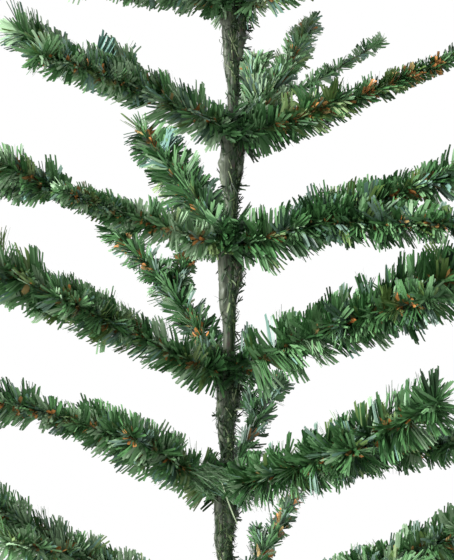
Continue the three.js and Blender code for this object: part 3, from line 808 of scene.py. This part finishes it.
sets = []
looks = [(one["flakes"], max(one["sparse"], plan["sparse"])) for one in PLAN for plan in (one, *one["twigs"])]
for line, (per_group, sparse) in zip(all_lines, [*looks, LEADER_FLAKES]):
    place, heading, share = along_wire(line, FLAKE_GROUP_STEP, 8.0)
    here = (share < FLAKES_END) & (rng.random(len(share)) > 1.2 * sparse)
    place, heading = place[here], heading[here]
    roots = np.repeat(place, per_group, axis=0)
    directions = np.repeat(heading, per_group, axis=0)
    count = len(roots)
    shift = np.repeat(rng.normal(0, 6, len(place)), per_group) + rng.normal(0, 2.5, count)
    roots = roots + directions * shift[:, None]
    combs = some(FLAKE_COMBS, count, rng)
    angles, scales, leans = (rng.uniform(*ends, count) for ends in FLAKE_RANGES)
    sets.append(stamp(combs, roots, directions, angles, scales, leans))
dealt_piece("brown_flakes", sets, FLAKE_COLOURS, None, rng)

# %% [markdown]
# ## Pale tufts
# Near the ends of two wires stands a tuft of broader strips in pale, cold greens, which are a painted glint.
# They are combs like the others, stamped at a place of their own in front of each wire.

# %% Pale tufts
PALE_TUFTS = [
    # bough, its wire, share of the wire's run, roots' offset from it, angle about it in degrees, combs
    ("bough_4_back", 0, 0.8, (3, -28, 8), 130, 12),
    ("bough_5_left", 2, 0.98, (-18, -6, -6), 75, 6),
]
# painted glint: the tufts' pale, cold greens
PALE_FILMS = [
    ("film_grey", srgb(74, 108, 96), 0.45, 0.35),
    ("film_cold", srgb(100, 136, 126), 0.45, 0.4),
    ("film_white", srgb(134, 160, 150), 0.45, 0.25),
]
rng = default_rng(12)
BROAD_COMBS = comb_kinds(rng, count=4, pitch=4.6, width=3.4, fan=9, spread=6, curl_size=0.12, reach=34)
sets = []
for name, wire, share, offset, turn, count in PALE_TUFTS:
    line = WIRES[name][wire]
    at = share * lengths_along(line)[-1] + rng.normal(0, 5, count)
    roots, directions, _ = places_on(line, at)
    combs = some(BROAD_COMBS, count, rng)
    angles = math.radians(turn) + rng.normal(0, 0.3, count)
    scales, leans = rng.uniform(0.75, 1.05, count), rng.uniform(0.0, 0.3, count)
    sets.append(stamp(combs, roots + np.array(offset), directions, angles, scales, leans))
dealt_piece("painted_glint_tufts", sets, PALE_FILMS, None, rng)

# %% [markdown]
# ## The pole
# Under each level the boughs' wires run down the pole, bound to it with green film, and end at different
# heights, so the pole is thick and lumpy there and thin above the next level. A profile spun about the axis
# gives a fine skin, and each of its points is then moved out to the bound wires under it, with the film's
# wraps, wrinkles and knots on top.

# %% Pole
POLE_FOOT = 3 + SEAT_GAP
POLE_ROWS = 1.7
POLE_COLUMNS = 64
BINDING_BLEND = 3.0
BINDING_THICKNESS = 3.0  # where the film's relief has its full height
WRAP_PITCH = 11.0
WRAP_SHIFT = 4.0  # how far lumps push the wraps up and down
LUMP_HEIGHT, CREASE_HEIGHT, WRAP_STEP, KNOT_HEIGHT = 1.8, 0.5, 0.45, 7.0
KNOTS_FROM = 0.2
KNOTS_APART = 533  # this far up the noise, so that knots don't follow the lumps
BARE_CREASE_HEIGHT = 0.2


def smooth_max(a, b, blend):
    """The larger of a and b, rounded where they cross."""
    h = np.clip(0.5 + 0.5 * (a - b) / blend, 0, 1)
    return b + (a - b) * h + blend * h * (1 - h)


def leg_radius(angle, height, one):
    """How far out the bound end of a bough's wire reaches at an angle about the pole, or 0 beside it."""
    drop = one["height"] - height
    thin = np.clip((drop - LEG_STRAIGHT * one["leg"]) / ((1 - LEG_STRAIGHT) * one["leg"]), 0, 1)
    size = LEG_RADIUS * (1 - LEG_THINNING * thin)
    offset = LEG_OFFSET * (1 - LEG_SINKING * thin)
    turn = (angle - math.radians(one["azimuth"]) + math.pi) % math.tau - math.pi
    across = offset * np.abs(np.sin(turn))
    inside = (across < size) & (np.abs(turn) < math.pi / 2) & (drop > -LEG_RISE) & (drop < one["leg"])
    reach = offset * np.cos(turn) + np.sqrt(np.maximum(0, size**2 - across**2))
    return np.where(inside, reach, 0)


def bare_radius(height):
    return np.where(height < POLE_JOINT, POLE_RADIUS, UPPER_POLE_RADIUS)


def pole_radius(angle, height):
    """The radius of the pole with the bound ends of the boughs' wires round it."""
    radius = bare_radius(height)
    for one in PLAN:
        radius = smooth_max(radius, leg_radius(angle, height, one), BINDING_BLEND)
    return radius


def spun(profile, sides):
    """A profile of (radius, height) points, in millimetres, spun about the axis into a closed shape."""
    shape = bmesh.new()
    points = [shape.verts.new((r * MM, 0, z * MM)) for r, z in profile]
    lines = [shape.edges.new(pair) for pair in zip(points, points[1:])]
    bmesh.ops.spin(
        shape, geom=points + lines, cent=(0, 0, 0), axis=(0, 0, 1), dvec=(0, 0, 0),
        angle=math.tau, steps=sides, use_merge=True,
    )
    bmesh.ops.remove_doubles(shape, verts=shape.verts, dist=0.01 * MM)
    bmesh.ops.recalc_face_normals(shape, faces=shape.faces)
    return shape


def mesh_of(name, shape):
    mesh = bpy.data.meshes.new(name)
    shape.to_mesh(mesh)
    shape.free()
    return mesh


def bumps(places, across, upwards):
    """Smooth noise in -1 to 1 at each place, with as many lumps to a millimetre across and upwards."""
    return np.array([noise.noise(Vector((x * across, y * across, z * upwards))) for x, y, z in places])


rows = int((POLE_TOP - POLE_FOOT) / POLE_ROWS)
heights = np.linspace(POLE_FOOT, POLE_TOP, rows + 1)
pole_shape = spun([(0, POLE_FOOT), *((POLE_RADIUS, z) for z in heights), (0, POLE_TOP)], POLE_COLUMNS)
co = np.array([v.co for v in pole_shape.verts]) / MM
angle, height = np.arctan2(co[:, 1], co[:, 0]), co[:, 2]
bare, radius = bare_radius(height), pole_radius(angle, height)
bound = np.clip((radius - bare) / BINDING_THICKNESS, 0, 1)
lumps = bumps(co, 0.06, 0.045)
creases = bumps(co, 0.35, 0.09)
knots = bumps(co + UP * KNOTS_APART, 0.11, 0.075)
wrap = ((height + WRAP_PITCH * angle / math.tau + WRAP_SHIFT * lumps) / WRAP_PITCH) % 1
relief = LUMP_HEIGHT * lumps + CREASE_HEIGHT * creases + WRAP_STEP * wrap
relief += KNOT_HEIGHT * np.maximum(0, knots - KNOTS_FROM)
radius = radius + bound * relief + (1 - bound) * BARE_CREASE_HEIGHT * creases
from_axis = np.hypot(co[:, 0], co[:, 1])
scale = np.where(from_axis < 0.1, 1, radius / np.maximum(from_axis, 1e-6))
for vert, factor in zip(pole_shape.verts, scale):
    vert.co.x *= factor
    vert.co.y *= factor
print("pole:", rows, "rows, up to", round(radius.max(), 1), "mm from the axis")

# %% [markdown]
# The film is streaked along the pole. Light and shade are painted on it: it is pale at the left, where the
# lamp stands, and dark at the right, with brown blotches.

# %% Binding film
film, shader, place = material("binding_film", srgb(84, 94, 74), 0.5)
drawn_out = place.node("Mapping", {}, {"Vector": place, "Scale": (1, 1, 0.12)})
streaks = drawn_out.noise(260.0, 4.0)
blotches = place.noise(95.0)
streaked = streaks.between(0.36, 0.66)
# Painted light: the lit colours of the film's left side.
pale_film = streaked.mix(srgb(60, 68, 54), srgb(92, 100, 82))
# Painted shade: the dark colours of the film's right side, which also has brown blotches.
dark_film = streaked.mix(srgb(24, 34, 20), srgb(50, 64, 40))
dark_film = blotches.between(0.54, 0.62).mix(dark_film, srgb(50, 40, 30))
across = place.node("SeparateXYZ", {}, {"Vector": place})
# The pole's left takes the painted light and its right the painted shade.
film_colour = (across + 0.008 * blotches).between(0.001, 0.004).mix(pale_film, dark_film)
feed(shader, "Base Color", film_colour)
feed_bump(shader, streaks, 0.0006)
finished("bound_pole", mesh_of("bound_pole", pole_shape), [film], "bound_pole", "trunk_pole")

# %% [markdown]
# Needles are caught under the film, and scraps of film stick out of it, which gives the pole its hairy
# outline and its mossy look. There are most of them on its right side, and under the second and third levels.
# Each needle is laid round the bound pole, point by point, and its free end stands off.

# %% Needles and scraps on the pole
POLE_GREENS = [
    ("caught_deep", srgb(30, 46, 28), 0.5, 0.35),
    ("caught_dark", srgb(44, 66, 38), 0.5, 0.35),
    ("caught_olive", srgb(74, 92, 56), 0.5, 0.22),
    ("caught_pale", srgb(128, 142, 106), 0.5, 0.08),
]
RIGHT_SHARE = 0.6  # of the scraps, on the pole's right, where most of the film is knotted
RIGHT_TURN, RIGHT_SPREAD = -0.6, 0.6  # radians: the middle of that side, and how far it goes
SPAN_UP, SPAN_DOWN = 8, 118  # of a level's scraps, from the level's height
CROWDING = 1.3  # above 1, they crowd towards the level
SLOPE_RUN = 12  # a needle's slope is its turn about the pole, in radians, over this length
OFF_FILM = 0.5
MOSSY_LEVELS, MOSSY = (1, 2), 3  # under these levels there are this many times more of them
rng = default_rng(91)
TUFTS = comb_kinds(rng, count=4, pitch=1.3, width=2.0, fan=14, spread=16, curl_size=0.3, reach=12)


def places_on_pole(rng, level, count):
    """Angles about the pole and heights, most of them on its right and near the level."""
    turn = rng.uniform(0, math.tau, count)
    turn = np.where(rng.random(count) < RIGHT_SHARE, rng.normal(RIGHT_TURN, RIGHT_SPREAD, count), turn)
    return turn, level_height(level) + SPAN_UP - (SPAN_UP + SPAN_DOWN) * rng.uniform(0, 1, count) ** CROWDING


def tufts_on_pole(rng, level, count):
    """The points of small tufts that stick out of the film."""
    turn, foot = places_on_pole(rng, level, count)
    foot = np.clip(foot, POLE_FOOT, POLE_TOP)
    roots = polar(pole_radius(turn, foot), turn, foot)
    angles = turn + rng.normal(0, 0.6, count)
    combs = some(TUFTS, count, rng)
    scales, leans = rng.uniform(0.4, 1.2, count), rng.normal(0, 1.4, count)
    return stamp(combs, roots, UP, angles, scales, leans)


def laid_on_pole(rng, level, count, length, width, slope, stand):
    """The points of the needles caught on the pole below one level. length and stand are ranges."""
    turn, foot = places_on_pole(rng, level, count)
    length = rng.uniform(*length, count) * rng.choice([-1, 1], count)
    slope = rng.normal(0, slope, count)
    stand = rng.uniform(*stand, count)
    rings = []
    for share, breadth in RINGS:
        z = np.clip(foot + length * share, POLE_FOOT, POLE_TOP)
        middle = turn + slope * share * length / SLOPE_RUN
        out = pole_radius(middle, z) + OFF_FILM + stand * share**2
        for edge in (-0.5, 0.5):
            angle = middle + edge * breadth * width / out
            rings.append(polar(out, angle, z))
    return np.stack(rings, axis=1)


sets, tones = [], []
for level in range(LEVELS):
    more = MOSSY if level in MOSSY_LEVELS else 1
    kinds_on_pole = [
        # points, and how much lighter they are
        (laid_on_pole(rng, level, 170 * more, (8, 22), 2.4, 0.25, (0, 1)), 0),
        (laid_on_pole(rng, level, 120 * more, (4, 9), 2.4, 1.2, (1.5, 6)), -0.5),
        (laid_on_pole(rng, level, 14, (25, 50), 1.3, 0.45, (0, 2.5)), 2),
        (tufts_on_pole(rng, level, 36), -1),
    ]
    for points, lighter in kinds_on_pole:
        sets.append(points.reshape(-1, POINTS_PER_NEEDLE, 3))
        tones.append(lighter + rng.normal(0, 1, len(sets[-1])))
dealt_piece("needles_caught_on_pole", sets, POLE_GREENS, tones, rng)

# %% [markdown]
# ## Needles at the pole
# Where a level's boughs meet, their first needles stand out all round the pole and sweep across the front of
# it, so that the joint itself is hidden in a tuft. Its darker greens are painted shade where the boughs meet.

# %% Needles at the pole
COLLAR_COMBS = 110
COLLAR_RADIUS = 15.0
COLLAR_RISE, COLLAR_SPREAD, COLLAR_ENDS = 9.0, 9.0, (-8, 28)  # of the needles' roots above the level
# painted shade: how far the tuft's tones are lowered
COLLAR_TONE = -1.6
rng = default_rng(57)
sets = []
for level in range(LEVELS):
    around = rng.uniform(0, math.tau, COLLAR_COMBS)
    sweep = rng.uniform(0.9, 1.5, COLLAR_COMBS) * rng.choice([-1, 1], COLLAR_COMBS)
    rise = np.clip(rng.normal(COLLAR_RISE, COLLAR_SPREAD, COLLAR_COMBS), *COLLAR_ENDS)
    roots = polar(COLLAR_RADIUS, around, level_height(level) + rise)
    combs = some(COMBS, COLLAR_COMBS, rng)
    scales = rng.uniform(0.45, 0.8, COLLAR_COMBS)
    leans = rng.normal(0.15, 0.55, COLLAR_COMBS)
    sets.append(stamp(combs, roots, UP, around + sweep, scales, leans))
pole_points = np.concatenate(sets)
tone, hue = rng.normal(0, 1, (2, len(pole_points)))
pole_colours = needle_colours(tone + COLLAR_TONE, hue, rng)
strips_piece("needles_at_pole", pole_points, pole_colours, NEEDLE_MATERIALS)

# %% [markdown]
# At the second level a fan of fine needles from the left bough is combed across the front of the pole, and
# one long pale strand of film hangs out of it.

# %% Fan across the pole
FAN_LEVEL = 1
FAN_COMBS = 150
FAN_START = np.array([-52, -26, 27])  # of its roots, from the pole's axis at the level
FAN_END = np.array([12, -38, 10])
FAN_SPREAD = 4, 1.5, 8
FAN_HEADING = unit(np.array([[0.88, -0.06, -0.4]]))
FAN_RANGES = (0, math.tau), (0.5, 0.95), (2.0, 6.0)  # of the angle, the scale and the lean
STRAND_START = np.array([-6, -48, 14])
STRAND_END = np.array([9, -22, -40])
STRAND_WIDTH, STRAND_CURL, STRAND_SLANT = 1.7, np.array([5.0, 0, 0]), 0.5
FAN_TONES = 1.5, 0.8  # a mean and spread
rng = default_rng(68)
FINE_COMBS = comb_kinds(rng, count=6, pitch=1.3, width=1.2, fan=4, spread=4, curl_size=0.1)
fan_level = np.array([0, 0, level_height(FAN_LEVEL)])
along = rng.random(FAN_COMBS)[:, None]
combs = some(FINE_COMBS, FAN_COMBS, rng)
roots = fan_level + FAN_START + (FAN_END - FAN_START) * along
roots += rng.normal(0, FAN_SPREAD, (FAN_COMBS, 3))
angles, scales, leans = (rng.uniform(*ends, FAN_COMBS) for ends in FAN_RANGES)
fan_points = stamp(combs, roots, FAN_HEADING, angles, scales, leans)
strand_run = STRAND_END - STRAND_START
strand = strip(
    fan_level + STRAND_START, unit(strand_run), np.array([1.0, 0, 0]), np.linalg.norm(strand_run),
    STRAND_WIDTH, STRAND_CURL, STRAND_SLANT,
)
fan_points = np.concatenate([fan_points.reshape(-1, POINTS_PER_NEEDLE, 3), [strand]])
fan_colours = deal(NEEDLE_COLOURS, rng.normal(*FAN_TONES, len(fan_points) - 1), rng)
fan_colours = np.append(fan_colours, len(NEEDLE_COLOURS))
strand_colour = plain_materials([("pale_strand", srgb(168, 184, 150), 0.4, 1)])
strips_piece("fan_at_pole", fan_points, fan_colours, NEEDLE_MATERIALS[:len(NEEDLE_COLOURS)] + strand_colour)

# %% [markdown]
# ## The bucket and its cement
# The picture ends above the foot, so this is a plain galvanised bucket: sheet steel rolled into a cone, with
# a bead at the rim and a pressed ring. Its profile is drawn once and spun.

# %% Bucket
BUCKET_HEIGHT = 200
BUCKET_BASE_RADIUS = 92
BUCKET_TOP_RADIUS = 122
BUCKET_WALL = 2
BUCKET_FLOOR = 3
BUCKET_EDGE = 3
RIM_RADIUS = 3.5
HOOP_HEIGHT = 132
HOOP_SIZE = 2.5
BUCKET_SIDES = 96


def bucket_radius(height):
    return BUCKET_BASE_RADIUS + (BUCKET_TOP_RADIUS - BUCKET_BASE_RADIUS) * height / BUCKET_HEIGHT


def arc(centre, radius, start, end, steps):
    """Points of an arc, [radius, height], from a start angle to an end angle in degrees."""
    angles = np.radians(np.linspace(start, end, steps + 1))
    return [(centre[0] + radius * math.cos(a), centre[1] + radius * math.sin(a)) for a in angles]


rim_height = BUCKET_HEIGHT - RIM_RADIUS
rim_middle = bucket_radius(rim_height) + RIM_RADIUS - BUCKET_WALL
hoop = [
    (bucket_radius(HOOP_HEIGHT + k * HOOP_SIZE) + HOOP_SIZE * (0.5 + 0.5 * math.cos(math.pi * k / 2)),
     HOOP_HEIGHT + k * HOOP_SIZE)
    for k in np.linspace(-2, 2, 13)
]
edge = arc((bucket_radius(BUCKET_EDGE) - BUCKET_EDGE, BUCKET_EDGE), BUCKET_EDGE, -90, 0, 6)
bucket_profile = [
    (0, 0),
    *edge,
    *hoop,
    *arc((rim_middle, rim_height), RIM_RADIUS, -90, 180, 24)[:-1],
    (bucket_radius(rim_height) - BUCKET_WALL, rim_height),
    (bucket_radius(BUCKET_FLOOR + 2) - BUCKET_WALL, BUCKET_FLOOR + 2),
    (bucket_radius(BUCKET_FLOOR) - BUCKET_WALL - 2, BUCKET_FLOOR),
    (0, BUCKET_FLOOR),
]
zinc, shader, place = material("galvanised_zinc", srgb(172, 176, 180), 0.4, 0.85)
crystals = place.node("TexVoronoi", {"feature": "F1"}, {"Vector": place, "Scale": 95.0}, output=1)
spangle = crystals.node("SeparateColor", {}, {"Color": crystals})
dull = place.noise(14.0, 4.0)
sheen = (spangle * 0.7 + dull * 0.3).between(0.1, 0.9)
feed(shader, "Base Color", sheen.mix(srgb(146, 151, 156), srgb(196, 199, 202)))
feed(shader, "Roughness", 0.3 + spangle * 0.2 + dull * 0.1)
bucket_mesh = mesh_of("galvanised_bucket", spun(bucket_profile, BUCKET_SIDES))
finished("galvanised_bucket", bucket_mesh, [zinc], "zinc", "bucket")

# %% [markdown]
# The cement was poured wet and levelled by hand, so its top is nearly flat, a little higher at the pole, and
# rough. Rings of points close together on the top let it be uneven.

# %% Cement
FILL_LEVEL = 166
FILL_RISE, FILL_ROUNDING = 1.5, 6  # of the edge by the wall
FILL_COLLAR, FILL_COLLAR_RUN = 2.0, 12  # up round the pole, and out from it
FILL_BORE_GAP = 0.6  # so that the film's creases stay clear of the cement
FILL_RINGS = 26
inside = bucket_radius(FILL_LEVEL) - BUCKET_WALL - SEAT_GAP
bore = POLE_RADIUS + SEAT_GAP + FILL_BORE_GAP
fill_profile = [(bore, POLE_FOOT), (bucket_radius(POLE_FOOT) - BUCKET_WALL - SEAT_GAP, POLE_FOOT)]
for r in np.linspace(inside, bore, FILL_RINGS + 1):
    wall_rise = FILL_RISE * min(1, (inside - r) / FILL_ROUNDING)
    fill_profile.append((r, FILL_LEVEL + wall_rise + FILL_COLLAR * max(0, 1 - (r - bore) / FILL_COLLAR_RUN)))
fill_profile.append(fill_profile[0])
cement_shape = spun(fill_profile, BUCKET_SIDES)
for vert in cement_shape.verts:
    if vert.co.z > (FILL_LEVEL - 1) * MM:
        rough = noise.noise(vert.co * 60) * 0.9 + noise.noise(vert.co * 260) * 0.5
        vert.co.z += min(rough, 0.8) * MM
cement, shader, place = material("cement", srgb(150, 146, 138), 0.92)
grain = place.noise(420.0, 5.0)
stains = place.noise(18.0, 4.0)
patches = (stains * 0.6 + grain * 0.4).between(0.35, 0.65)
feed(shader, "Base Color", patches.mix(srgb(122, 118, 110), srgb(170, 167, 160)))
feed(shader, "Roughness", 0.8 + grain * 0.2)
feed_bump(shader, grain, 0.0008)
finished("cement_filling", mesh_of("cement_filling", cement_shape), [cement], "cement", "bucket_fill")

# %% [markdown]
# ## Floor, world and light
# The picture's ground is pure white and its light is soft, from the upper left. A white world gives the white
# ground and most of the light, and one broad lamp gives the direction. The floor is a pale disc, small enough
# to stay below the camera's view.

# %% Floor and light
FLOOR_RADIUS = 1.6
FLOOR_DROP = 0.0005  # below the bucket, so that their faces aren't in one place
AMBIENT = 0.87  # how bright the white world is to the tree. The camera sees it as 1.
LAMP_PLACE = Vector((-2.5, -1.3, 1.9))
LAMP_AIM = Vector((0, 0, 0.8))
LAMP_POWER = 225
floor_shape = bmesh.new()
bmesh.ops.create_circle(floor_shape, cap_ends=True, segments=128, radius=FLOOR_RADIUS)
floor_mesh = mesh_of("floor", floor_shape)
floor_mesh.transform(Matrix.Translation((0, 0, -FLOOR_DROP)))
floor = placed("floor", floor_mesh)
floor_surface, *_ = material("pale_floor", (0.82, 0.82, 0.81), 0.7)
floor_mesh.materials.append(floor_surface)
floor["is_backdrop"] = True

world = bpy.data.worlds.new("white")
world.use_nodes = True
background = world.node_tree.nodes["Background"]
background.inputs["Color"].default_value = (1, 1, 1, 1)
seen = Signal(world.node_tree.nodes.new("ShaderNodeLightPath").outputs["Is Camera Ray"])
feed(background, "Strength", AMBIENT + (1 - AMBIENT) * seen)
bpy.context.scene.world = world
bpy.context.scene.view_settings.view_transform = "Standard"

lamp_data = bpy.data.lights.new("key", "AREA")
lamp_data.size = 1.0
lamp_data.energy = LAMP_POWER
lamp = placed("key", lamp_data)
lamp.location = LAMP_PLACE
lamp.rotation_euler = (LAMP_AIM - LAMP_PLACE).to_track_quat("-Z", "Y").to_euler()

# %% [markdown]
# The box round all that was made is kept beside the frame's own box, so that the two can be compared.

# %% The box of all that was made
visual_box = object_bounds()
